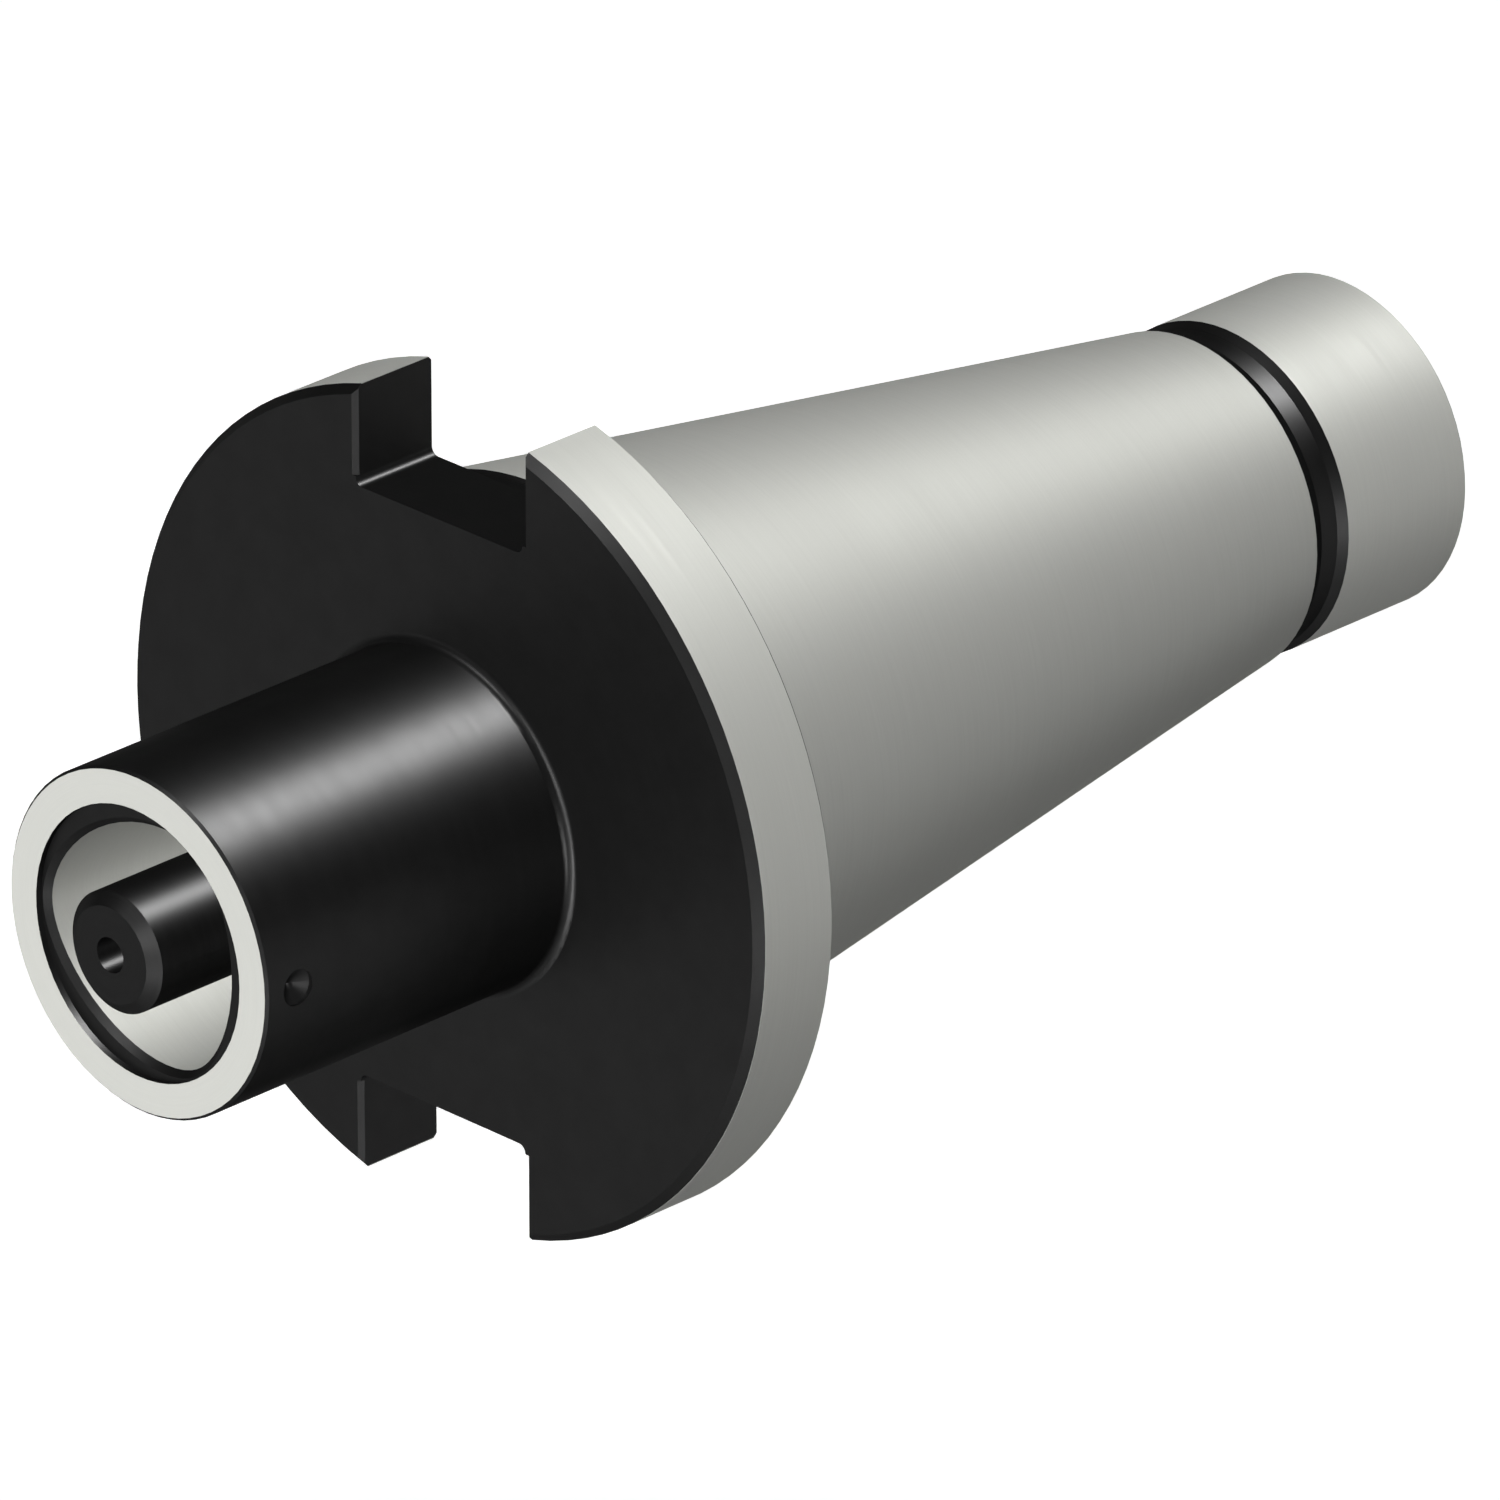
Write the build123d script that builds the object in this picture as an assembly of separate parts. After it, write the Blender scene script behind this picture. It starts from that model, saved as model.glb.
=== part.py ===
from build123d import *
import math
import os

# Modular tool holder adapter, all sizes in millimetres.
# The tool axis is Y: the nose with the coupling bore points to -Y, the tail to +Y.
# The origin lies on the axis in the gauge plane of the steep taper, and the drive slots are at +Z and -Z.

# Steep taper shank, 7 in 24 on the diameter, size 50
gauge_diameter = 69.85
taper_fall = 7.0
taper_run = 24.0
taper_length = 101.8
neck_step = 0.4

# Relief groove and pilot behind the taper
groove_length = 5.55
groove_depth = 0.65
groove_flank_angle = 30.0
pilot_diameter = 39.25
tail_length = 126.8
tail_chamfer = 0.5

# Flange with its two drive slots
gauge_to_flange = 3.2
flange_diameter = 97.5
flange_thickness = 11.5
flange_front_chamfer = 1.0
flange_rear_chamfer = 0.5
slot_width = 25.7
slot_floor_height = 35.3
slot_corner_radius = 1.0
slot_edge_chamfer = 0.55

# Nose barrel, from the gauge plane to the ring face
nose_reach = 60.0
nose_diameter = 40.0
nose_edge_chamfer = 0.35
nose_root_fillet = 1.0

# Polygonal coupling bore: mean diameter at the ring face, lobe height and taper 1 in 20
polygon_diameter = 28.0
polygon_lobe = 0.9
polygon_taper_run = 20.0
polygon_depth = 24.0
polygon_edge_chamfer = 0.7
polygon_points = 36
recess_depth = 0.8
recess_margin = 0.22
undercut_margin = 0.5
undercut_length = 3.0
undercut_chamfer = 1.2

# Orientation dimple on the nose, at +X
dimple_diameter = 4.2
dimple_wall_depth = 0.5
dimple_cone_angle = 118.0
dimple_to_face = 4.6

# Web, rear bore and drawbar thread, drilled from the tail
web_length = 20.0
web_edge_chamfer = 0.6
rear_bore_diameter = 21.0
thread_diameter = 24.0
thread_length = 47.0
mouth_diameter = 27.0
mouth_angle = 60.0

# Centre bolt
bolt_diameter = 14.0
bolt_projection = 4.0
bolt_end_chamfer_radial = 1.4
bolt_end_chamfer_axial = 1.1
bolt_full_length = 20.0
bolt_waist_diameter = 11.8
bolt_waist_flank = 1.1
bolt_land_lead = 2.0
coolant_hole_diameter = 4.1
head_diameter = 20.0
head_length = 12.0
head_edge_chamfer = 0.8
head_root_relief = 0.25
socket_across_flats = 10.0
socket_depth = 7.0
socket_lead_in = 0.5

# Thrust washer, seal ring and retaining ring
washer_thickness = 2.0
washer_edge_chamfer = 0.3
seal_cord_diameter = 1.5
seal_section_sides = 6
retaining_ring_thickness = 1.0
retaining_ring_width = 1.75
retaining_ring_offset = 0.3
retaining_groove_depth = 0.5
retaining_gap_width = 6.5
retaining_lug_diameter = 3.2
retaining_eye_diameter = 1.5

# Running clearances and play
bolt_running_clearance = 0.08
seal_clearance = 0.04
seal_side_play = 0.2
washer_bore_clearance = 0.3
head_bore_clearance = 0.3
head_play = 0.05
bolt_travel = 3.0
ring_groove_clearance = 0.05

# Stations along the axis
flange_rear = -gauge_to_flange
flange_front = flange_rear - flange_thickness
nose_face = -nose_reach
recess_floor = nose_face + recess_depth
polygon_end = nose_face + polygon_depth
web_front = polygon_end + undercut_length
web_rear = web_front + web_length
groove_end = taper_length + groove_length
thread_mouth = tail_length - (mouth_diameter - thread_diameter) / 2 / math.tan(math.radians(mouth_angle / 2))
thread_end = thread_mouth - thread_length
head_front = web_rear + washer_thickness + head_play
head_rear = head_front + head_length
ring_front = head_rear + bolt_travel + head_play
bolt_front = nose_face - bolt_projection
land_front = web_front + bolt_land_lead
seal_station = (web_front + web_rear) / 2

# Radii that several pieces share
gauge_radius = gauge_diameter / 2
taper_end_radius = gauge_radius - taper_length * taper_fall / taper_run / 2
pilot_radius = pilot_diameter / 2
groove_radius = pilot_radius - groove_depth
neck_radius = gauge_radius - neck_step
bolt_radius = bolt_diameter / 2
web_bore_radius = bolt_radius + bolt_running_clearance
rear_bore_radius = rear_bore_diameter / 2
retaining_groove_radius = rear_bore_radius + retaining_groove_depth
retaining_groove_width = retaining_ring_thickness + 2 * ring_groove_clearance
undercut_radius = (polygon_diameter - polygon_depth / polygon_taper_run) / 2 + polygon_lobe + undercut_margin

# How far a cutting solid runs past the face that it opens
overrun = 1.0


def turned(outline):
    """A solid of revolution about Y from (radius, station) corners."""
    return revolve(make_face(Polyline(*outline, close=True)), Axis.Y)


def turned_body():
    """The outside of the holder: nose barrel, flange, neck, taper, groove and pilot."""
    flank_slope = math.tan(math.radians(groove_flank_angle))
    outline = [
        (0, nose_face),
        (nose_diameter / 2 - nose_edge_chamfer, nose_face),
        (nose_diameter / 2, nose_face + nose_edge_chamfer),
        (nose_diameter / 2, flange_front),
        (flange_diameter / 2 - flange_front_chamfer, flange_front),
        (flange_diameter / 2, flange_front + flange_front_chamfer),
        (flange_diameter / 2, flange_rear - flange_rear_chamfer),
        (flange_diameter / 2 - flange_rear_chamfer, flange_rear),
        (neck_radius, flange_rear),
        (neck_radius, -neck_step),
        (gauge_radius, 0),
        (taper_end_radius, taper_length),
        (groove_radius, taper_length + (taper_end_radius - groove_radius) / flank_slope),
        (groove_radius, groove_end - groove_depth / flank_slope),
        (pilot_radius, groove_end),
        (pilot_radius, tail_length - tail_chamfer),
        (pilot_radius - tail_chamfer, tail_length),
        (0, tail_length),
    ]
    section = make_face(Polyline(*outline, close=True))
    root = section.vertices().sort_by_distance((nose_diameter / 2, flange_front, 0))[0]
    return revolve(fillet(root, nose_root_fillet), Axis.Y)


def drive_slot():
    """The space of one drive slot at +Z: rounded floor corners and chamfered front edges."""
    height = flange_diameter / 2 - slot_floor_height + overrun
    length = flange_thickness + 2 * overrun
    middle = (flange_front + flange_rear) / 2
    slot = Pos(0, middle, slot_floor_height + height / 2) * Box(slot_width, length, height)
    floor_edges = slot.edges().filter_by(Axis.Y).sort_by(Axis.Z)[:2]
    slot = fillet(floor_edges, slot_corner_radius)
    wall = slot_width / 2
    bevel = Polyline(
        (wall + slot_edge_chamfer, flange_front),
        (wall, flange_front + slot_edge_chamfer),
        (-wall, flange_front + slot_edge_chamfer),
        (-wall - slot_edge_chamfer, flange_front),
        close=True,
    )
    bevel_floor = slot_floor_height + slot_corner_radius
    bevel_height = height - slot_corner_radius
    return slot + Pos(0, 0, bevel_floor) * extrude(make_face(bevel), bevel_height)


def polygon_outline(station, growth):
    """The three-lobed curve of constant width at a station, grown by an even distance."""
    mean_radius = (polygon_diameter - (station - nose_face) / polygon_taper_run) / 2 + growth
    points = []
    for step in range(polygon_points):
        angle = 2 * math.pi * step / polygon_points
        reach = mean_radius - polygon_lobe * math.cos(3 * angle)
        drift = 3 * polygon_lobe * math.sin(3 * angle)
        x = reach * math.cos(angle) - drift * math.sin(angle)
        z = reach * math.sin(angle) + drift * math.cos(angle)
        points.append((x, station, z))
    return Wire([Edge.make_spline(points, periodic=True)])


def coupling_bore():
    """The space of the coupling: face recess, chamfered edge, polygonal taper and undercut."""
    lobe_radius = (polygon_diameter - recess_depth / polygon_taper_run) / 2 + polygon_lobe
    recess_radius = lobe_radius + polygon_edge_chamfer + recess_margin
    edge_station = recess_floor + polygon_edge_chamfer
    recess = turned([
        (0, nose_face - overrun),
        (recess_radius, nose_face - overrun),
        (recess_radius, recess_floor),
        (0, recess_floor),
    ])
    edge = Solid.make_loft([
        polygon_outline(recess_floor, polygon_edge_chamfer),
        polygon_outline(edge_station, 0),
    ], ruled=True)
    taper = Solid.make_loft([
        polygon_outline(edge_station, 0),
        polygon_outline(polygon_end, 0),
    ], ruled=True)
    undercut = turned([
        (0, polygon_end),
        (undercut_radius, polygon_end),
        (undercut_radius, web_front - undercut_chamfer),
        (undercut_radius - undercut_chamfer, web_front),
        (0, web_front),
    ])
    return [recess, edge, taper, undercut]


def rear_bores():
    """The space behind the coupling: web bore, rear bore, snap ring groove and drawbar thread."""
    thread_radius = thread_diameter / 2
    groove_front = ring_front - ring_groove_clearance
    groove_rear = groove_front + retaining_groove_width
    return turned([
        (0, web_front - overrun),
        (web_bore_radius + web_edge_chamfer + overrun, web_front - overrun),
        (web_bore_radius, web_front + web_edge_chamfer),
        (web_bore_radius, web_rear - web_edge_chamfer),
        (web_bore_radius + web_edge_chamfer, web_rear),
        (rear_bore_radius, web_rear),
        (rear_bore_radius, groove_front),
        (retaining_groove_radius, groove_front),
        (retaining_groove_radius, groove_rear),
        (rear_bore_radius, groove_rear),
        (rear_bore_radius, thread_end - (thread_radius - rear_bore_radius)),
        (thread_radius, thread_end),
        (thread_radius, thread_mouth),
        (mouth_diameter / 2, tail_length),
        (mouth_diameter / 2, tail_length + overrun),
        (0, tail_length + overrun),
    ])


def orientation_dimple():
    """The drilled mark on the nose that shows which way round the coupled unit goes."""
    radius = dimple_diameter / 2
    floor = nose_diameter / 2 - dimple_wall_depth
    tip = floor - radius / math.tan(math.radians(dimple_cone_angle / 2))
    station = nose_face + dimple_to_face
    outline = Polyline(
        (tip, station),
        (floor, station + radius),
        (nose_diameter / 2 + overrun, station + radius),
        (nose_diameter / 2 + overrun, station),
        close=True,
    )
    return revolve(make_face(outline), Axis((0, station, 0), (1, 0, 0)))


def holder_body():
    """The whole holder in one piece of steel."""
    slot = drive_slot()
    body = turned_body() - slot - slot.rotate(Axis.Y, 180)
    for space in coupling_bore():
        body -= space
    return body - rear_bores() - orientation_dimple()


def centre_bolt():
    """The hollow draw bolt: plain front end, waist, land with the seal groove, and socket head."""
    waist_radius = bolt_waist_diameter / 2
    full_end = bolt_front + bolt_full_length
    seal_floor = web_bore_radius - seal_clearance - seal_cord_diameter - seal_clearance
    seal_half = seal_cord_diameter / 2 + seal_side_play
    head_radius = head_diameter / 2
    blank = turned([
        (0, bolt_front),
        (bolt_radius - bolt_end_chamfer_radial, bolt_front),
        (bolt_radius, bolt_front + bolt_end_chamfer_axial),
        (bolt_radius, full_end),
        (waist_radius, full_end + bolt_waist_flank),
        (waist_radius, land_front - bolt_waist_flank),
        (bolt_radius, land_front),
        (bolt_radius, seal_station - seal_half),
        (seal_floor, seal_station - seal_half),
        (seal_floor, seal_station + seal_half),
        (bolt_radius, seal_station + seal_half),
        (bolt_radius, web_rear),
        (bolt_radius - head_root_relief, web_rear + head_root_relief),
        (bolt_radius - head_root_relief, head_front),
        (head_radius - head_edge_chamfer, head_front),
        (head_radius, head_front + head_edge_chamfer),
        (head_radius, head_rear - head_edge_chamfer),
        (head_radius - head_edge_chamfer, head_rear),
        (0, head_rear),
    ])
    hole = turned([
        (0, bolt_front - overrun),
        (coolant_hole_diameter / 2, bolt_front - overrun),
        (coolant_hole_diameter / 2, head_rear),
        (0, head_rear),
    ])
    return blank - hole - key_socket()


def key_socket():
    """The hexagon that the key turns, with a conical lead-in."""
    mouth = Plane(origin=(0, head_rear, 0), x_dir=(1, 0, 0), z_dir=(0, 1, 0))
    hexagon = RegularPolygon(socket_across_flats / 2, 6, major_radius=False)
    corner_radius = socket_across_flats / 2 / math.cos(math.pi / 6)
    lead_in = turned([
        (0, head_rear - socket_lead_in),
        (corner_radius, head_rear - socket_lead_in),
        (corner_radius + socket_lead_in, head_rear),
        (0, head_rear),
    ])
    return extrude(mouth * hexagon, -socket_depth) + lead_in


def thrust_washer():
    """The hardened ring that carries the bolt's head on the web."""
    outer = rear_bore_radius - head_bore_clearance
    inner = bolt_radius + washer_bore_clearance
    rear = web_rear + washer_thickness
    return turned([
        (inner, web_rear),
        (outer, web_rear),
        (outer, rear - washer_edge_chamfer),
        (outer - washer_edge_chamfer, rear),
        (inner, rear),
    ])


def bolt_seal_ring():
    """The O-ring in the bolt's land, its round cord drawn with a few flat sides."""
    ring_radius = web_bore_radius - seal_clearance - seal_cord_diameter / 2
    half_side_angle = 180 / seal_section_sides
    section = RegularPolygon(seal_cord_diameter / 2, seal_section_sides, rotation=half_side_angle)
    return revolve(Pos(ring_radius, seal_station, 0) * section, Axis.Y)


def retaining_ring():
    """The internal snap ring: eccentric bow, a gap at -Z, and a lug with an eye at each end."""
    outer = retaining_groove_radius - ring_groove_clearance
    inner = outer - retaining_ring_width
    lug_radius = retaining_lug_diameter / 2
    lug_x = retaining_gap_width / 2 + lug_radius
    lug_y = math.sqrt((inner - lug_radius / 3) ** 2 - lug_x ** 2)
    flat = Circle(outer) - Pos(0, retaining_ring_offset) * Circle(inner)
    gap_middle = outer - retaining_ring_width
    flat -= Pos(0, gap_middle) * Rectangle(retaining_gap_width, 4 * retaining_ring_width)
    for side in (-1, 1):
        flat += Pos(side * lug_x, lug_y) * Circle(lug_radius)
    for side in (-1, 1):
        flat -= Pos(side * lug_x, lug_y) * Circle(retaining_eye_diameter / 2)
    seat = Plane(origin=(0, ring_front, 0), x_dir=(1, 0, 0), z_dir=(0, 1, 0))
    return extrude(seat * flat, retaining_ring_thickness)


pieces = {
    "holder_body": holder_body(),
    "centre_bolt": centre_bolt(),
    "thrust_washer": thrust_washer(),
    "bolt_seal_ring": bolt_seal_ring(),
    "retaining_ring": retaining_ring(),
}

os.makedirs("parts", exist_ok=True)
for name, piece in pieces.items():
    export_step(piece, f"parts/{name}.step")
    print(name, round(piece.volume, 1), "mm3")
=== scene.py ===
# %% [markdown]
# # A steep-taper holder with a polygonal coupling
#
# The real object is one piece of turned, milled and ground steel. Its long taper sits in a milling
# spindle, the slotted flange takes the spindle's drive keys, and the short nose holds an
# exchangeable cutting unit. The solids come from the CAD model as a fixed frame. This lesson gives
# them their finishes, adds the small forms that the solids leave out, and sets up the camera, the
# floor and the lamps.

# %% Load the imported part
import math

import bpy
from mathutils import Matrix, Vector


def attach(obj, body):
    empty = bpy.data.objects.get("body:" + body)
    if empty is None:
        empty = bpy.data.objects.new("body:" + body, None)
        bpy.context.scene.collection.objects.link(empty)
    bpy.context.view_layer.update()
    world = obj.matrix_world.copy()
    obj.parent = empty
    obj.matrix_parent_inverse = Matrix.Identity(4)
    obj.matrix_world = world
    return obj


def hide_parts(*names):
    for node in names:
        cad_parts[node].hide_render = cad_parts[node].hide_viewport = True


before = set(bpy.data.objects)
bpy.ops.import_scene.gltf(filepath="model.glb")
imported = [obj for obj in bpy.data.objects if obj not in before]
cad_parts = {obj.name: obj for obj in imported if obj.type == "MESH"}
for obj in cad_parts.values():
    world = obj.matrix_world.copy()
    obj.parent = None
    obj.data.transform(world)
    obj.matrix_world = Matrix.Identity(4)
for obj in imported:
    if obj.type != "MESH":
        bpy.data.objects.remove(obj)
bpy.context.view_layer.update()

MM = 0.001
print("nodes:", sorted(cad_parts))

# %% [markdown]
# ## The camera
#
# The photograph looks at the nose from one side and a little from above. It has hardly any
# perspective, so the camera stands more than two metres away behind a very long lens. Three
# directions at right angles say where it stands: to the right in the picture, up in the picture,
# and back from the object to the camera.

# %% Set the camera
CAMERA_AZIMUTH = math.radians(45)
CAMERA_ELEVATION = math.radians(25)
CAMERA_DISTANCE = 2.3205
CAMERA_RIGHT = 0.0231
CAMERA_UP = 0.0028
SENSOR_WIDTH = 36.0
FOCAL_LENGTH = 512.1
NEAR_CLIP = 0.1
FAR_CLIP = 100

camera_back = Vector((
    math.sin(CAMERA_AZIMUTH) * math.cos(CAMERA_ELEVATION),
    -math.cos(CAMERA_AZIMUTH) * math.cos(CAMERA_ELEVATION),
    math.sin(CAMERA_ELEVATION),
))
camera_right = Vector((math.cos(CAMERA_AZIMUTH), math.sin(CAMERA_AZIMUTH), 0))
camera_up = camera_back.cross(camera_right)
camera_place = (
    CAMERA_RIGHT * camera_right + CAMERA_UP * camera_up + CAMERA_DISTANCE * camera_back)

bpy.ops.object.select_all(action="DESELECT")
bpy.ops.object.camera_add(location=camera_place)
camera = bpy.context.object
camera.name = "photo_camera"
camera.rotation_mode = "QUATERNION"
camera.rotation_quaternion = camera_back.to_track_quat("Z", "Y")
camera.data.sensor_width = SENSOR_WIDTH
camera.data.lens = FOCAL_LENGTH
camera.data.clip_start = NEAR_CLIP
camera.data.clip_end = FAR_CLIP
bpy.context.scene.camera = camera
bpy.context.scene.view_settings.view_transform = "Standard"
print("camera at", [round(value, 3) for value in camera_place], "lens", FOCAL_LENGTH, "mm")

# %% [markdown]
# ## Nodes for a material
#
# A procedural material is a small machine of nodes. Four helpers keep the recipes below short. The
# first adds a node and fills its inputs, where an input may be a number or another node's output.
# The others add a Math node, mix two values of one kind, and start an empty material.

# %% Helpers that build node trees
def add_node(tree, kind, inputs=None, **settings):
    """Add a node, set its properties, and fill or link its inputs by name or number."""
    node = tree.nodes.new(kind)
    for name, value in settings.items():
        setattr(node, name, value)
    for name, value in (inputs or {}).items():
        if isinstance(value, bpy.types.NodeSocket):
            tree.links.new(value, node.inputs[name])
        else:
            node.inputs[name].default_value = value
    return node


def math_node(tree, operation, *values):
    """The result of one Math node."""
    inputs = dict(enumerate(values))
    return add_node(tree, "ShaderNodeMath", inputs, operation=operation).outputs[0]


def mix(tree, kind, factor, first, second):
    """The first colour, number or vector where factor is 0, and the second where it is 1."""
    inputs = {"Factor": factor, "A": first, "B": second}
    return add_node(tree, "ShaderNodeMix", inputs, data_type=kind).outputs["Result"]


def new_material(name):
    """An empty material with its node tree and output."""
    material = bpy.data.materials.new(name)
    material.use_nodes = True
    material.node_tree.nodes.clear()
    output = material.node_tree.nodes.new("ShaderNodeOutputMaterial")
    return material, material.node_tree, output


print("node helpers ready")

# %% [markdown]
# ## Floor and background
#
# The photograph has a plain white background. The camera looks down at it, so the floor alone
# fills the picture. A white floor would throw much light up under the steel, which is dark there in
# the photograph, so the floor is pale for the camera and for mirrored and refracted rays, and dark
# for light that it would scatter. It is a matt surface lit by the lamps, which leave it a light
# grey, so that it takes the object's soft shadow, and a glow of its own for the same rays lifts it
# to white. Stronger lamps would do that too, but they would bleach the steel. It lies well below
# the object, which is shown held in the air, and its far edge slopes up like the cove of a
# photographer's studio, so that a low camera sees no end of it.

# %% Make the floor
FLOOR_HEIGHT = -0.125
FLOOR_RADIUS = 8.0
FLOOR_CORNERS = 96
COVE_RISE = 1.2
COVE_RUN = 2.0

bpy.ops.object.select_all(action="DESELECT")
bpy.ops.mesh.primitive_circle_add(
    vertices=FLOOR_CORNERS, radius=FLOOR_RADIUS, fill_type="NGON", location=(0, 0, FLOOR_HEIGHT))
floor = bpy.context.object
floor.name = "studio_floor"
bpy.ops.object.mode_set(mode="EDIT")
bpy.ops.mesh.select_all(action="SELECT")
bpy.ops.mesh.region_to_loop()
bpy.ops.mesh.extrude_region_move(TRANSFORM_OT_translate={"value": (0, 0, COVE_RISE)})
grow = (FLOOR_RADIUS + COVE_RUN) / FLOOR_RADIUS
bpy.ops.transform.resize(value=(grow, grow, 1))
bpy.ops.object.mode_set(mode="OBJECT")
print("floor at height", FLOOR_HEIGHT, "m,", len(floor.data.polygons), "faces")

# %% [markdown]
# Light Path tells which kind of ray meets the floor. Where the ray is the camera's, a mirrored one
# or a refracted one, the floor has its pale colour and its glow.

# %% Give the floor its surface
FLOOR_PALE = (0.84, 0.84, 0.84, 1)
FLOOR_DARK = (0.05, 0.05, 0.05, 1)
FLOOR_GLOW = 0.65

floor_material, tree, output = new_material("pale_floor")
rays = add_node(tree, "ShaderNodeLightPath").outputs
seen = math_node(tree, "MAXIMUM", rays["Is Camera Ray"], rays["Is Glossy Ray"])
seen = math_node(tree, "MAXIMUM", seen, rays["Is Transmission Ray"])
colour = mix(tree, "RGBA", seen, FLOOR_DARK, FLOOR_PALE)
strength = math_node(tree, "MULTIPLY", seen, FLOOR_GLOW)
matt = add_node(tree, "ShaderNodeBsdfDiffuse", {"Color": colour})
glow = add_node(tree, "ShaderNodeEmission", {"Strength": strength})
both = add_node(tree, "ShaderNodeAddShader", {0: matt.outputs[0], 1: glow.outputs[0]})
tree.links.new(both.outputs[0], output.inputs["Surface"])
floor.data.materials.append(floor_material)
print("floor colour", FLOOR_PALE[0], "where it is seen and", FLOOR_DARK[0], "elsewhere")

# %% [markdown]
# ## Lamps and room light
#
# The shading in the photograph tells where its lamps stand. The main one is behind and above the
# object and draws the bright band along the top of every cylinder. One in front of the nose lights
# the ring face. A weak one high above throws the soft shadow on the floor. Sun lamps give the same
# light everywhere, so the floor stays even. Their strength is the light that arrives at the object:
# about 3.1 makes a colour render as it is written. The angle is how wide a lamp looks, in degrees:
# the wider, the softer its light. The photograph has no shadow of the flange on the nose or on the
# taper, so only the weak lamp throws one.
#
# The five gleams are seen in the gloss of the steel and nowhere else, as a studio's narrow light
# strips are: the band on the black nose, the light rim along the slots, the two fine rings in the
# root fillet, the light side of the dimple, and the light edges of the flange. Turning off a lamp's
# diffuse light in its visibility does that. A brighter plain lamp would draw the same gleams and
# turn the black steel grey. A lamp without a shadow is also left out of multiple importance
# sampling. With it, the part of its gleam that the renderer finds along mirrored rays would be
# blocked by the flange, and the nose would darken towards it. The room is dim.

# %% Set the lamps and the world
LAMPS = {
    "main_lamp": {"direction": (0.142, 0.610, 0.779), "strength": 0.73, "angle": 20},
    "nose_lamp": {"direction": (0.179, -0.974, 0.142), "strength": 3.5, "angle": 30},
    "top_lamp": {"direction": (0.3, 0.2, 0.93), "strength": 0.4, "angle": 40},
    "main_gleam": {"direction": (0.142, 0.610, 0.779), "strength": 9.0, "angle": 20},
    "front_gleam": {"direction": (-0.10, -0.55, 0.83), "strength": 2.8, "angle": 20},
    "low_gleam": {"direction": (0.089, -0.884, -0.46), "strength": 4.0, "angle": 20},
    "side_gleam": {"direction": (0.97, 0.0, -0.243), "strength": 3.1, "angle": 20},
    "edge_gleam": {"direction": (0.641, -0.641, -0.423), "strength": 0.6, "angle": 20},
}
SHADOW_LAMP = "top_lamp"
GLOSS_ONLY = ("main_gleam", "front_gleam", "low_gleam", "side_gleam", "edge_gleam")
LAMP_DISTANCE = 1.5
ROOM_COLOUR = (0.03, 0.03, 0.03, 1)

for name, lamp in LAMPS.items():
    direction = Vector(lamp["direction"]).normalized()
    bpy.ops.object.light_add(type="SUN", location=direction * LAMP_DISTANCE)
    light = bpy.context.object
    light.name = name
    light.rotation_mode = "QUATERNION"
    light.rotation_quaternion = direction.to_track_quat("Z", "Y")
    light.data.angle = math.radians(lamp["angle"])
    light.data.energy = lamp["strength"]
    light.data.use_shadow = name == SHADOW_LAMP
    light.data.cycles.use_multiple_importance_sampling = name == SHADOW_LAMP
    light.visible_diffuse = name not in GLOSS_ONLY
    print(name, "strength", lamp["strength"])

world = bpy.data.worlds.new("dim_room")
bpy.context.scene.world = world
world.use_nodes = True
world.node_tree.nodes["Background"].inputs["Color"].default_value = ROOM_COLOUR
print("room light", ROOM_COLOUR[0])

# %% [markdown]
# ## Where the surface lies
#
# The marks and finishes of a turned part go round its axis, so a material has to know where the
# axis is. A picture could be wrapped round each piece, but it would show a seam. Object coordinates
# give the place of each point in the metal instead. From them come the station along the axis, the
# radius, and the direction away from the axis.

# %% Helpers that read the place
def vector_node(tree, operation, inputs):
    """The result of one Vector Math node: a number for a length or a dot product."""
    node = add_node(tree, "ShaderNodeVectorMath", inputs, operation=operation)
    return node.outputs["Value" if operation in ("LENGTH", "DOT_PRODUCT") else "Vector"]


def place_in_mm(tree):
    """The place of each point in its piece, in millimetres."""
    coordinates = add_node(tree, "ShaderNodeTexCoord").outputs["Object"]
    return vector_node(tree, "SCALE", {0: coordinates, "Scale": 1 / MM})


def across_axis(tree, vector):
    """The part of a vector that is square to the axis."""
    x, _, z = add_node(tree, "ShaderNodeSeparateXYZ", {0: vector}).outputs
    return add_node(tree, "ShaderNodeCombineXYZ", {"X": x, "Z": z}).outputs[0]


def along_axis(tree, length):
    """A vector of this length along the axis."""
    return add_node(tree, "ShaderNodeCombineXYZ", {"Y": length}).outputs[0]


def about_axis(tree, place):
    """The station along the axis, the radius, and the direction away from the axis."""
    station = add_node(tree, "ShaderNodeSeparateXYZ", {0: place}).outputs["Y"]
    across = across_axis(tree, place)
    radius = vector_node(tree, "LENGTH", {0: across})
    outwards = vector_node(tree, "NORMALIZE", {0: across})
    return station, radius, outwards


print("place helpers ready")

# %% [markdown]
# Tool marks change fast along the profile and slowly round the axis. The pattern space is made for
# that. Its middle number runs along the profile, and its other two follow the direction round the
# axis. Noise read in that space becomes fine rings with no seam.

# %% Helpers that draw tool marks
PROFILE_TILT = 1.7
NOISE_LOW = 0.3
NOISE_HIGH = 0.7


def pattern_space(tree, station, radius, outwards):
    """The place in the space where noise becomes rings."""
    profile = math_node(tree, "MULTIPLY_ADD", radius, PROFILE_TILT, station)
    return vector_node(tree, "ADD", {0: outwards, 1: along_axis(tree, profile)})


def noise(tree, place, scale, detail):
    """A grey noise pattern read at a place."""
    inputs = {"Vector": place, "Scale": scale, "Detail": detail}
    return add_node(tree, "ShaderNodeTexNoise", inputs).outputs["Fac"]


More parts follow.
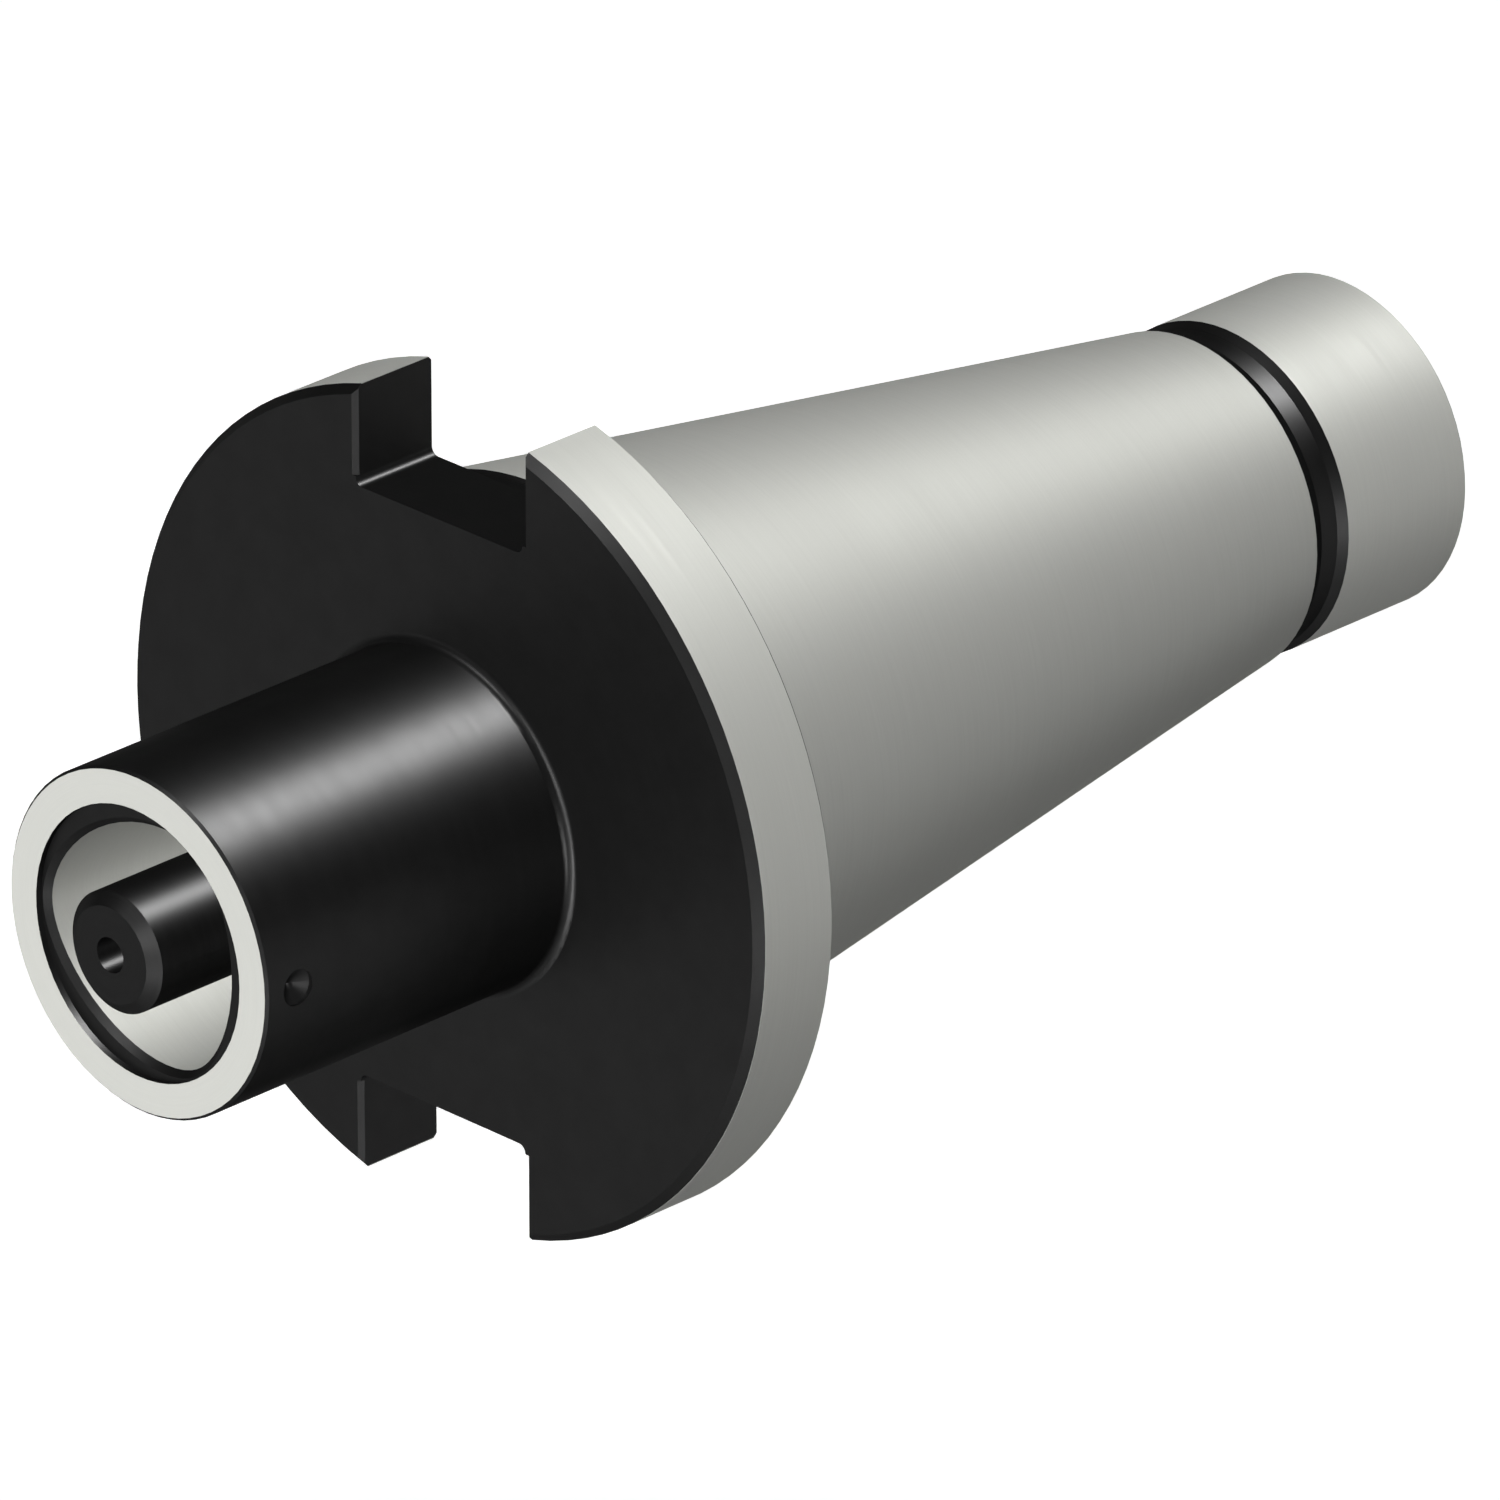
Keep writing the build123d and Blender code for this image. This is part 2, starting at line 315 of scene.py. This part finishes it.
def rings(tree, pattern, per_mm, round_scale):
    """Noise in fine rings: per_mm sets how close they lie, and round_scale how soon each one
    changes round the axis."""
    stretch = (round_scale, per_mm, round_scale)
    stretched = vector_node(tree, "MULTIPLY", {0: pattern, 1: stretch})
    return noise(tree, stretched, scale=1.0, detail=2.0)


def remap(tree, value, low, high):
    """A noise value stretched from its usual range to the range low to high."""
    return add_node(tree, "ShaderNodeMapRange", {
        "Value": value, "From Min": NOISE_LOW, "From Max": NOISE_HIGH,
        "To Min": low, "To Max": high}).outputs["Result"]


print("tool mark helpers ready")

# %% [markdown]
# ## Ground and blackened steel
#
# The holder is blackened all over, and then ground bright where it fits something: the taper, the
# pilot, the flange's rim, the ring face and the wall of the polygonal bore. Both finishes are on
# one piece of steel, so one material carries both, and the station and radius say which one shows.
# Two materials on picked faces would do as well, but the mesh of a CAD node stays as it is. The
# margin moves a limit off the edge that it stands for, so that rounding can't put a finish on the
# next face.

# %% Say where the steel is ground
MARGIN = 0.02
GROUND_ZONES_MM = {
    "taper": {"station": (-MARGIN, 101.8 - MARGIN), "radius": (16, 60)},
    "pilot": {"station": (107.35 + MARGIN, 126.3), "radius": (16, 60)},
    "flange rim": {"station": (-13.72, -3.68), "radius": (48.66, 60)},
    "ring face": {"station": (-61, -60 + MARGIN), "radius": (10, 19.68)},
    "polygonal bore": {"station": (-58.5 + MARGIN, -36 - MARGIN), "radius": (0, 17)},
}


def between(tree, value, low, high):
    """1 where value lies between low and high, and 0 elsewhere."""
    return math_node(tree, "COMPARE", value, (low + high) / 2, (high - low) / 2)


def ground_mask(tree, station, radius):
    """1 on ground steel and 0 on blackened steel."""
    total = 0.0
    for zone in GROUND_ZONES_MM.values():
        in_station = between(tree, station, *zone["station"])
        in_radius = between(tree, radius, *zone["radius"])
        inside = math_node(tree, "MULTIPLY", in_station, in_radius)
        total = math_node(tree, "ADD", total, inside)
    return total


print("ground zones:", ", ".join(GROUND_ZONES_MM))

# %% [markdown]
# The bright steel is nearly matt and slightly warm. The black coat is thin, smooth and a little
# porous, so it loses its gloss where it is seen edge-on, which Layer Weight tells. One helper makes
# the shader of every steel here, with its tool marks as bump. Its edge tint lowers the gloss of
# steel seen at a slant. With a tint below about 0.42 the gloss of so dark a metal would fall under
# zero there, and leave hard black lines.

# %% Choose the tones and the gloss
GROUND_COLOUR = (0.55, 0.555, 0.524, 1)
GROUND_SHADE = (0.53, 0.535, 0.505, 1)
GROUND_METALLIC = 0.13
GROUND_ROUGHNESS = (0.62, 0.67)
BLACK_COLOUR = (0.0145, 0.0145, 0.0145, 1)
BLACK_SHADE = (0.0160, 0.0160, 0.0160, 1)
BLACK_METALLIC = 0.73
BLACK_ROUGHNESS = (0.373, 0.403)
EDGE_TINT = (0.43, 0.43, 0.43, 1)
FADE_START = 0.40
FADE_END = 0.78
FADED_SHARE = 0.12


def black_gloss(tree):
    """The share of gloss in the black coat, which fades where it is seen edge-on."""
    facing = add_node(tree, "ShaderNodeLayerWeight").outputs["Facing"]
    return add_node(tree, "ShaderNodeMapRange", {
        "Value": facing, "From Min": FADE_START, "From Max": FADE_END,
        "To Min": BLACK_METALLIC, "To Max": BLACK_METALLIC * FADED_SHARE,
    }, interpolation_type="SMOOTHSTEP").outputs["Result"]


def finish(tree, output, colour, roughness, metallic, height, depth, normal=None):
    """One Principled surface with a bump of the given depth in millimetres."""
    bump = add_node(tree, "ShaderNodeBump", {
        "Height": height, "Strength": 1.0, "Distance": depth * MM})
    if normal:
        tree.links.new(normal, bump.inputs["Normal"])
    steel = add_node(tree, "ShaderNodeBsdfPrincipled", {
        "Base Color": colour, "Roughness": roughness, "Metallic": metallic,
        "Specular IOR Level": 0.0, "Specular Tint": EDGE_TINT, "Normal": bump.outputs[0]})
    tree.links.new(steel.outputs[0], output.inputs["Surface"])


print("tones chosen")

# %% [markdown]
# The tool marks differ: the drive slots are milled in straight passes, and the rest is turned or
# ground. So the material needs to know where the slots are. The same goes for the bore and the
# dimple, which aren't round about this axis, and for the nose's barrel, which is a plain cylinder.

# %% Say where the holder isn't plainly turned
SLOT_HALF_WIDTH = 13.4
SLOT_FLOOR = 35.0
FLANGE_SPAN = (-14.7, -3.2)
BORE_SPAN = (-61, -30)
BORE_RADIUS = 17.0
DIMPLE_RADIUS = 2.15
DIMPLE_DEPTHS = (17.5, 19.95)
DIMPLE_SPAN = (-57.6, -53.2)
BARREL_SPAN = (-59.6, -15.72)
BARREL_RADIUS = (19.9, 20.1)


def all_of(tree, *masks):
    """1 where every mask is 1."""
    total = masks[0]
    for mask in masks[1:]:
        total = math_node(tree, "MULTIPLY", total, mask)
    return total


def holder_zones(tree, place, station, radius):
    """Masks for the drive slots, for all that isn't round about the axis, and for the barrel."""
    x, _, z = add_node(tree, "ShaderNodeSeparateXYZ", {0: place}).outputs
    sideways = math_node(tree, "ABSOLUTE", x)
    upright = math_node(tree, "ABSOLUTE", z)
    narrow = math_node(tree, "LESS_THAN", sideways, SLOT_HALF_WIDTH)
    high = math_node(tree, "GREATER_THAN", upright, SLOT_FLOOR)
    slots = all_of(tree, narrow, high, between(tree, station, *FLANGE_SPAN))
    bore = all_of(tree, between(tree, station, *BORE_SPAN), between(tree, radius, 0, BORE_RADIUS))
    near = math_node(tree, "LESS_THAN", upright, DIMPLE_RADIUS)
    dimple = all_of(
        tree, near, between(tree, radius, *DIMPLE_DEPTHS), between(tree, station, *DIMPLE_SPAN))
    not_round = math_node(tree, "MAXIMUM", math_node(tree, "MAXIMUM", slots, bore), dimple)
    barrel = all_of(
        tree, between(tree, station, *BARREL_SPAN), between(tree, radius, *BARREL_RADIUS))
    return slots, not_round, barrel


print("slots, bore, dimple and barrel known")

# %% [markdown]
# The solid's cylinders and cones are flat facets. Smooth shading hides them, but not the seam where
# each of them closes, or the edge where the root fillet meets the nose: a line of wrong light shows
# there. On a turned surface the true normal points straight away from the axis, so it can be worked
# out from the place in the metal, and the lines go. Slots, bore and dimple keep the normal that
# they have.

# %% Work out the true normal
def true_normal(tree, outwards, kept, level):
    """The normal turned straight away from the axis, as it was where kept is 1, and square to
    the axis where level is 1."""
    normal = add_node(tree, "ShaderNodeNewGeometry").outputs["Normal"]
    across = across_axis(tree, normal)
    facing = vector_node(tree, "DOT_PRODUCT", {0: across, 1: outwards})
    length = vector_node(tree, "LENGTH", {0: across})
    reach = math_node(tree, "MULTIPLY", math_node(tree, "SIGN", facing), length)
    turned = vector_node(tree, "SCALE", {0: outwards, "Scale": reach})
    tilt = add_node(tree, "ShaderNodeSeparateXYZ", {0: normal}).outputs["Y"]
    tilt = math_node(tree, "MULTIPLY", tilt, math_node(tree, "SUBTRACT", 1.0, level))
    straight = vector_node(tree, "ADD", {0: turned, 1: along_axis(tree, tilt)})
    return mix(tree, "VECTOR", kept, straight, normal)


print("normal helper ready")

# %% [markdown]
# Now the holder's steel itself. Fine rings tint the ground steel, coarse ones change its gloss, and
# both raise the surface by two thousandths of a millimetre. The black coat has faint clouds a few
# millimetres across.

# %% Make the holder's steel
MARK_DEPTH = 0.002
FINE_SHARE = 0.35
CLOUD_SCALE = 0.3
MILLED_STRETCH = (2.6, 0.12, 2.6)

holder_steel, tree, output = new_material("holder_ground_and_blackened_steel")
place = place_in_mm(tree)
station, radius, outwards = about_axis(tree, place)
pattern = pattern_space(tree, station, radius, outwards)
ground = ground_mask(tree, station, radius)
slots, not_round, barrel = holder_zones(tree, place, station, radius)
fine = rings(tree, pattern, per_mm=7.0, round_scale=2.5)
coarse = rings(tree, pattern, per_mm=1.6, round_scale=1.2)
turned_marks = math_node(tree, "MULTIPLY_ADD", fine, FINE_SHARE, coarse)
milled_way = vector_node(tree, "MULTIPLY", {0: place, 1: MILLED_STRETCH})
milled_marks = noise(tree, milled_way, scale=1.0, detail=2.0)
cloud = noise(tree, place, scale=CLOUD_SCALE, detail=3.0)

ground_tone = mix(tree, "RGBA", remap(tree, fine, 0.0, 1.0), GROUND_SHADE, GROUND_COLOUR)
black_tone = mix(tree, "RGBA", remap(tree, cloud, 0.0, 1.0), BLACK_COLOUR, BLACK_SHADE)
black_roughness = remap(tree, coarse, *BLACK_ROUGHNESS)
ground_roughness = remap(tree, coarse, *GROUND_ROUGHNESS)
finish(tree, output,
       colour=mix(tree, "RGBA", ground, black_tone, ground_tone),
       roughness=mix(tree, "FLOAT", ground, black_roughness, ground_roughness),
       metallic=mix(tree, "FLOAT", ground, black_gloss(tree), GROUND_METALLIC),
       height=mix(tree, "FLOAT", slots, turned_marks, milled_marks),
       depth=MARK_DEPTH,
       normal=true_normal(tree, outwards, not_round, barrel))
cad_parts["holder_body"].material_slots[0].material = holder_steel
print("holder steel has", len(tree.nodes), "nodes")

# %% [markdown]
# ## Steels of the small parts
#
# The bolt is turned and blackened like the holder. The thrust washer is hardened and ground bright,
# and the snap ring is stamped from spring steel with a dull phosphate coat. Each gets the same kind
# of rings at its own scale. The black coat's colour and gloss are shared, so that bolt and holder
# match: a recipe with no metallic value takes the black coat's.

# %% Make the steels of the small parts
BRIGHT_COLOUR = (0.50, 0.50, 0.49, 1)
BRIGHT_SHADE = (0.44, 0.44, 0.43, 1)
PHOSPHATE_COLOUR = (0.050, 0.047, 0.044, 1)
PHOSPHATE_SHADE = (0.085, 0.080, 0.074, 1)
SMALL_STEELS = {
    "centre_bolt": {
        "name": "bolt_blackened_steel", "tones": (BLACK_COLOUR, BLACK_SHADE),
        "roughness": BLACK_ROUGHNESS, "metallic": None, "per_mm": 3.0, "depth": 0.002},
    "thrust_washer": {
        "name": "washer_ground_steel", "tones": (BRIGHT_SHADE, BRIGHT_COLOUR),
        "roughness": (0.34, 0.46), "metallic": 0.8, "per_mm": 5.0, "depth": 0.002},
    "retaining_ring": {
        "name": "ring_phosphated_steel", "tones": (PHOSPHATE_COLOUR, PHOSPHATE_SHADE),
        "roughness": (0.50, 0.66), "metallic": 0.5, "per_mm": 6.0, "depth": 0.004},
}

for node_name, recipe in SMALL_STEELS.items():
    material, tree, output = new_material(recipe["name"])
    pattern = pattern_space(tree, *about_axis(tree, place_in_mm(tree)))
    marks = rings(tree, pattern, per_mm=recipe["per_mm"], round_scale=1.5)
    finish(tree, output,
           colour=mix(tree, "RGBA", remap(tree, marks, 0.0, 1.0), *recipe["tones"]),
           roughness=remap(tree, marks, *recipe["roughness"]),
           metallic=recipe["metallic"] or black_gloss(tree),
           height=marks,
           depth=recipe["depth"])
    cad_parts[node_name].material_slots[0].material = material
    print(recipe["name"], "on", node_name)

# %% [markdown]
# ## Shaping a mesh
#
# The two pieces that are still missing start as primitives and are worked in edit mode, where an
# operator acts on all that is selected. One helper opens a new piece with nothing selected, and
# the other selects vertices by their place.

# %% Helpers that shape a mesh
def start_piece(name):
    """Name the new primitive, and open it in edit mode with nothing selected."""
    piece = bpy.context.object
    piece.name = piece.data.name = name
    bpy.ops.object.mode_set(mode="EDIT")
    bpy.ops.mesh.select_all(action="DESELECT")
    return piece


def pick_vertices(piece, wanted):
    """In edit mode, select the vertices whose place in the mesh passes the test."""
    bpy.ops.object.mode_set(mode="OBJECT")
    for vertex in piece.data.vertices:
        vertex.select = wanted(vertex.co)
    bpy.ops.object.mode_set(mode="EDIT")


print("mesh helpers ready")

# %% [markdown]
# ## The drawbar thread
#
# The spindle's drawbar screws into the tail, into an M24 thread of 3 mm pitch. The solid's wall
# stands at the thread's outer diameter, so its ridge is added here. It could be cut with a boolean,
# which is slow and leaves slivers. One tooth section is drawn instead, a rectangle narrowed towards
# its crest, so that its flanks stand at 60 degrees to each other. Its foot stands 0.05 mm deep in
# the wall, so that no gap can show.

# %% Draw one tooth section
FOOT_RADIUS = 12.05
CREST_RADIUS = 10.5
FOOT_WIDTH = 2.65
CREST_WIDTH = 0.85
RIDGE_START = 75.9

bpy.ops.object.select_all(action="DESELECT")
bpy.ops.mesh.primitive_plane_add(size=1, location=(0, 0, 0))
ridge = start_piece("drawbar_thread_ridge")
bpy.ops.mesh.select_all(action="SELECT")
bpy.ops.transform.resize(value=((FOOT_RADIUS - CREST_RADIUS) * MM, FOOT_WIDTH * MM, 1))
pick_vertices(ridge, lambda point: point.x < 0)
bpy.ops.transform.resize(value=(1, CREST_WIDTH / FOOT_WIDTH, 1), center_override=(0, 0, 0))
bpy.ops.mesh.select_all(action="SELECT")
bpy.ops.transform.translate(
    value=((FOOT_RADIUS + CREST_RADIUS) / 2 * MM, RIDGE_START * MM, 0))
bpy.ops.mesh.delete(type="ONLY_FACE")
bpy.ops.object.mode_set(mode="OBJECT")
print("tooth section:", len(ridge.data.vertices), "corners")

# %% [markdown]
# A Screw modifier winds the section up along the axis. The ridge starts inside the cone at the
# blind end, so it grows out of the steel as a tap leaves it.

# %% Wind the thread ridge
PITCH = 3.0
TURNS = 16
STEPS_PER_TURN = 72

screw = ridge.modifiers.new("wind", "SCREW")
screw.axis = "Y"
screw.iterations = TURNS
screw.screw_offset = PITCH * MM
screw.steps = screw.render_steps = STEPS_PER_TURN
screw.use_merge_vertices = False
bpy.ops.object.modifier_apply(modifier="wind")
print("ridge:", len(ridge.data.polygons), "faces over", TURNS, "turns")

# %% [markdown]
# At the mouth the countersink, a cone, cuts the thread off. Each point of the ridge that stands
# inside the cone is moved out onto it. Points that fall together there are merged, and the open
# ends are filled, so that the ridge is a closed shell.

# %% Cut the ridge off at the countersink and close it
THREAD_MOUTH = 124.2
MOUTH_HALF_ANGLE = math.radians(30)
MERGE_DISTANCE = 0.0002
RIDGE_SMOOTH_ANGLE = math.radians(30)

for vertex in ridge.data.vertices:
    radius_now = math.hypot(vertex.co.x, vertex.co.z) / MM
    cone = FOOT_RADIUS - (THREAD_MOUTH - vertex.co.y / MM) * math.tan(MOUTH_HALF_ANGLE)
    if cone > radius_now:
        vertex.co.x *= cone / radius_now
        vertex.co.z *= cone / radius_now

bpy.ops.object.mode_set(mode="EDIT")
bpy.ops.mesh.select_all(action="SELECT")
bpy.ops.mesh.remove_doubles(threshold=MERGE_DISTANCE * MM)
bpy.ops.mesh.select_all(action="DESELECT")
bpy.ops.mesh.select_non_manifold(
    extend=False, use_wire=False, use_multi_face=False, use_non_contiguous=False, use_verts=False)
bpy.ops.mesh.fill_holes(sides=4)
bpy.ops.mesh.select_all(action="SELECT")
bpy.ops.mesh.normals_make_consistent(inside=False)
bpy.ops.object.mode_set(mode="OBJECT")
bpy.ops.object.shade_smooth_by_angle(angle=RIDGE_SMOOTH_ANGLE)
ridge.data.materials.append(holder_steel)
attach(ridge, "holder")
stations = [vertex.co.y / MM for vertex in ridge.data.vertices]
print("thread ridge from", round(min(stations), 2), "to", round(max(stations), 2), "mm")

# %% [markdown]
# ## The seal ring
#
# An O-ring in the bolt's land keeps the coolant in the bolt. The solid draws its cord with six flat
# sides, and the real cord is round, so a torus takes the solid's place.

# %% Make the cord
CORD_RADIUS = 0.75
SEAL_RADIUS = 6.29
SEAL_STATION = -23.0
RING_SEGMENTS = 96
CORD_SEGMENTS = 24

bpy.ops.object.select_all(action="DESELECT")
bpy.ops.mesh.primitive_torus_add(
    major_segments=RING_SEGMENTS, minor_segments=CORD_SEGMENTS,
    major_radius=SEAL_RADIUS * MM, minor_radius=CORD_RADIUS * MM,
    location=(0, SEAL_STATION * MM, 0), rotation=(math.radians(90), 0, 0))
bpy.ops.object.transform_apply(location=True, rotation=True, scale=True)
seal = start_piece("seal_ring_cord")
print("cord:", len(seal.data.polygons), "faces")

# %% [markdown]
# The real cord has a fine flash line inside and outside, where the two halves of its mould met.
# An edge loop of the torus lies on each. A narrow bevel in two segments makes a strip of the loop,
# and the line along the middle of the strip is pushed out a little.

# %% Raise the flash lines
FLASH_WIDTH = 0.05
FLASH_HEIGHT = 0.03
TOLERANCE = 0.001
SEAL_SMOOTH_ANGLE = math.radians(35)


def at_radius(point, radius_mm):
    """True for a point at this distance from the axis."""
    return abs(math.hypot(point.x, point.z) / MM - radius_mm) < TOLERANCE


def at_station(point, station_mm):
    """True for a point at this station along the axis."""
    return abs(point.y / MM - station_mm) < TOLERANCE


for side in (-1, 1):
    equator = SEAL_RADIUS + side * CORD_RADIUS
    pick_vertices(seal, lambda point: at_radius(point, equator))
    bpy.ops.mesh.bevel(offset=FLASH_WIDTH * MM, segments=2, affect="EDGES")
    pick_vertices(
        seal, lambda point: at_radius(point, equator) and at_station(point, SEAL_STATION))
    grow = (equator + side * FLASH_HEIGHT) / equator
    bpy.ops.transform.resize(
        value=(grow, 1, grow), center_override=(0, SEAL_STATION * MM, 0))
bpy.ops.object.mode_set(mode="OBJECT")
bpy.ops.object.shade_smooth_by_angle(angle=SEAL_SMOOTH_ANGLE)
print("seal ring:", len(seal.data.polygons), "faces")

# %% [markdown]
# The cord is black rubber, a little paler in clouds where wax has bloomed to its surface, and with
# the fine grain of its mould. Rubber has no tool marks, so its noise is read at the plain place,
# not in the pattern space.

# %% Give the seal ring its rubber
RUBBER_COLOUR = (0.018, 0.018, 0.018, 1)
RUBBER_BLOOM = (0.034, 0.034, 0.035, 1)
RUBBER_ROUGHNESS = (0.46, 0.62)
BLOOM_SCALE = 0.9
GRAIN_SCALE = 14.0
GRAIN_DEPTH = 0.003

seal_rubber, tree, output = new_material("seal_black_rubber")
place = place_in_mm(tree)
bloom = noise(tree, place, scale=BLOOM_SCALE, detail=4.0)
grain = noise(tree, place, scale=GRAIN_SCALE, detail=2.0)
tone = mix(tree, "RGBA", remap(tree, bloom, 0.0, 1.0), RUBBER_COLOUR, RUBBER_BLOOM)
bump = add_node(tree, "ShaderNodeBump", {
    "Height": grain, "Strength": 1.0, "Distance": GRAIN_DEPTH * MM})
rubber = add_node(tree, "ShaderNodeBsdfPrincipled", {
    "Base Color": tone, "Roughness": remap(tree, bloom, *RUBBER_ROUGHNESS),
    "Normal": bump.outputs[0]})
tree.links.new(rubber.outputs[0], output.inputs["Surface"])
seal.data.materials.append(seal_rubber)
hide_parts("bolt_seal_ring")
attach(seal, "bolt_carriage")
print("seal ring replaces its solid")
